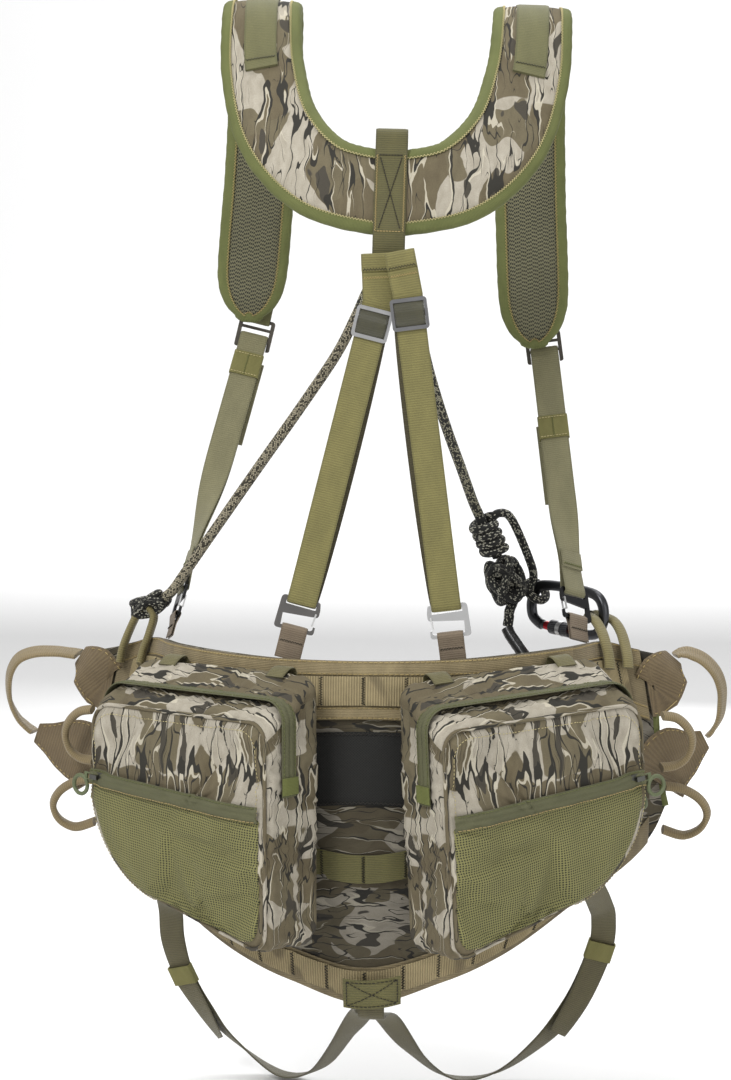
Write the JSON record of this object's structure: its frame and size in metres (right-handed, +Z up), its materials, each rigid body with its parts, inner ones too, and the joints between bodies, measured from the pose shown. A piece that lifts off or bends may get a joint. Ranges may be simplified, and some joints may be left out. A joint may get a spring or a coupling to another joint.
{
  "type": "tree saddle harness",
  "caption": "Padded shoulder yoke and seat sling harness with belt pouches, leg loops, a rope bridge and a screw-gate carabiner.",
  "frame": {"origin": "top of the shoulder arches, on the wearer's middle line", "axes": "+Z up, +Y the way the wearer faces, +X to the wearer's right"},
  "size_m": [0.6497, 0.3581, 0.9619],
  "materials": {
    "camo_cloth": null,
    "foam": "open-cell foam under cloth",
    "spacer_mesh": "dark green spacer mesh",
    "olive_tape": "olive woven tape",
    "olive_webbing": "olive polyester webbing",
    "green_webbing": "khaki green polyester webbing",
    "brown_webbing": "coyote brown polyester webbing",
    "black_mesh": "black mesh",
    "olive_mesh": "olive open mesh",
    "gunmetal": "gunmetal plating",
    "bright_steel": "polished stamped steel",
    "black_steel": "black coated steel",
    "grey_metal": "matt grey aluminium",
    "dark_plastic": "dark acetal",
    "zip_metal": "grey-green painted zinc",
    "pull_cord": "olive moulded cord pull",
    "rope": "black braided rope with pale flecks",
    "shrink_tube": "black heat-shrink tube",
    "black_alloy": "black anodised aluminium",
    "red_alloy": "red anodised aluminium",
    "grey_alloy": "grey anodised knurled aluminium"
  },
  "bodies": {
    "harness": {"yoke_shell": "camo_cloth", "yoke_foam": "foam", "yoke_lining": "spacer_mesh", "yoke_binding": "olive_tape", "shoulder_webbing": "olive_webbing", "yoke_back_webbing": "olive_webbing", "back_straps": "olive_webbing", "back_hooks": "bright_steel", "front_straps": "green_webbing", "ladder_locks": "dark_plastic", "lock_tabs": "olive_webbing", "front_hooks": "black_steel", "hook_tabs": "brown_webbing", "seat_panel": "camo_cloth", "seat_lining": "spacer_mesh", "seat_window": "black_mesh", "top_belt": "brown_webbing", "bottom_belt": "brown_webbing", "molle_rows": "brown_webbing", "centre_patch": "brown_webbing", "side_wings": "brown_webbing", "lineman_loops": "brown_webbing", "bridge_loop_left": "brown_webbing", "bridge_loop_right": "brown_webbing", "accessory_loops": "brown_webbing", "leg_loops": "olive_webbing", "waist_belts": "brown_webbing", "buckle_frame": "black_steel", "buckle_tongue": "black_steel", "pouch_left": "camo_cloth", "pouch_right": "camo_cloth", "pocket_panels": "olive_mesh", "pocket_zips": "olive_tape", "main_zips": "olive_tape", "pouch_ties": "olive_tape", "bridge_rope": "rope", "bridge_knot": "rope", "friction_hitch": "rope", "rope_sleeve": "shrink_tube", "carabiner_frame": "black_alloy"},
    "tri_glide_left": {"tri_glide_left": "gunmetal"},
    "tri_glide_right": {"tri_glide_right": "gunmetal"},
    "strap_keeper_left": {"strap_keeper_left": "olive_webbing"},
    "strap_keeper_right": {"strap_keeper_right": "olive_webbing"},
    "back_gate_left": {"back_gate_left": "bright_steel"},
    "back_gate_right": {"back_gate_right": "bright_steel"},
    "front_gate_left": {"front_gate_left": "bright_steel"},
    "front_gate_right": {"front_gate_right": "bright_steel"},
    "release_tab_upper": {"release_tab_upper": "grey_metal"},
    "release_tab_lower": {"release_tab_lower": "grey_metal"},
    "pocket_slider_left": {"pocket_slider_left": "zip_metal"},
    "pocket_pull_left": {"pocket_pull_left": "pull_cord"},
    "main_slider_left": {"main_slider_left": "zip_metal"},
    "main_pull_left": {"main_pull_left": "pull_cord"},
    "pocket_slider_right": {"pocket_slider_right": "zip_metal"},
    "pocket_pull_right": {"pocket_pull_right": "pull_cord"},
    "main_slider_right": {"main_slider_right": "zip_metal"},
    "main_pull_right": {"main_pull_right": "pull_cord"},
    "carabiner_gate": {"carabiner_gate": "red_alloy"},
    "carabiner_sleeve": {"carabiner_sleeve": "grey_alloy"}
  },
  "joints": [
    {"name": "tri_glide_left_slide", "type": "slide", "parent": "harness", "child": "tri_glide_left", "axis": [-0.2452, -0.0154, -0.9693], "range_m": [0, 0.18]},
    {"name": "tri_glide_right_slide", "type": "slide", "parent": "harness", "child": "tri_glide_right", "axis": [0.1227, 0.0318, -0.9919], "range_m": [0, 0.18]},
    {"name": "strap_keeper_left_slide", "type": "slide", "parent": "harness", "child": "strap_keeper_left", "axis": [-0.2202, -0.363, -0.9054], "range_m": [0, 0.055]},
    {"name": "strap_keeper_right_slide", "type": "slide", "parent": "harness", "child": "strap_keeper_right", "axis": [0.1202, -0.4574, -0.8811], "range_m": [-0.045, 0.04]},
    {"name": "back_gate_left_hinge", "type": "hinge", "parent": "harness", "child": "back_gate_left", "pos_m": [-0.0422, -0.13212, -0.52024], "axis": [-0.0038, 0.9999, -0.015], "range_deg": [0, 25], "stiffness_Nm_per_rad": 0.02},
    {"name": "back_gate_right_hinge", "type": "hinge", "parent": "harness", "child": "back_gate_right", "pos_m": [0.05389, -0.12875, -0.52268], "axis": [0.0039, -0.9995, -0.0316], "range_deg": [0, 25], "stiffness_Nm_per_rad": 0.02},
    {"name": "front_gate_left_hinge", "type": "hinge", "parent": "harness", "child": "front_gate_left", "pos_m": [-0.17101, -0.00968, -0.51727], "axis": [0.9164, 0.2412, -0.3196], "range_deg": [0, 25], "stiffness_Nm_per_rad": 0.02},
    {"name": "front_gate_right_hinge", "type": "hinge", "parent": "harness", "child": "front_gate_right", "pos_m": [0.16275, -0.01333, -0.51635], "axis": [0.7193, -0.5716, 0.3948], "range_deg": [0, 25], "stiffness_Nm_per_rad": 0.02},
    {"name": "release_tab_upper_press", "type": "slide", "parent": "harness", "child": "release_tab_upper", "axis": [0, 0, -1], "range_m": [0, 0.0025], "stiffness_N_per_m": 1500},
    {"name": "release_tab_lower_press", "type": "slide", "parent": "harness", "child": "release_tab_lower", "axis": [0, 0, 1], "range_m": [0, 0.0025], "stiffness_N_per_m": 1500},
    {"name": "pocket_slider_left_slide", "type": "slide", "parent": "harness", "child": "pocket_slider_left", "axis": [0.807, -0.5864, -0.0698], "range_m": [0, 0.172]},
    {"name": "pocket_pull_left_hinge", "type": "hinge", "parent": "pocket_slider_left", "child": "pocket_pull_left", "pos_m": [-0.23248, -0.13306, -0.65956], "axis": [0.0564, -0.041, 0.9976], "range_deg": [0, 100]},
    {"name": "main_slider_left_slide", "type": "slide", "parent": "harness", "child": "main_slider_left", "axis": [0, 0, 1], "range_m": [0, 0.05]},
    {"name": "main_pull_left_hinge", "type": "hinge", "parent": "main_slider_left", "child": "main_pull_left", "pos_m": [-0.2267, -0.09634, -0.668], "axis": [0.5878, 0.809, 0], "range_deg": [0, 110]},
    {"name": "pocket_slider_right_slide", "type": "slide", "parent": "harness", "child": "pocket_slider_right", "axis": [-0.803, -0.5834, -0.1219], "range_m": [0, 0.172]},
    {"name": "pocket_pull_right_hinge", "type": "hinge", "parent": "pocket_slider_right", "child": "pocket_pull_right", "pos_m": [0.23109, -0.13407, -0.65484], "axis": [0.0986, 0.0716, -0.9925], "range_deg": [0, 100]},
    {"name": "main_slider_right_slide", "type": "slide", "parent": "harness", "child": "main_slider_right", "axis": [-0.0423, -0.0308, 0.9986], "range_m": [0, 0.05]},
    {"name": "main_pull_right_hinge", "type": "hinge", "parent": "main_slider_right", "child": "main_pull_right", "pos_m": [0.22565, -0.0971, -0.66238], "axis": [0.5878, -0.809, 0], "range_deg": [0, 110]},
    {"name": "carabiner_gate_hinge", "type": "hinge", "parent": "harness", "child": "carabiner_gate", "pos_m": [0.18625, 0.02775, -0.55355], "axis": [0.7071, 0.7071, 0], "range_deg": [0, 25], "stiffness_Nm_per_rad": 0.15},
    {"name": "carabiner_sleeve_slide", "type": "slide", "parent": "carabiner_gate", "child": "carabiner_sleeve", "axis": [-0.7054, 0.7054, 0.0698], "range_m": [0, 0.008]}
  ]
}
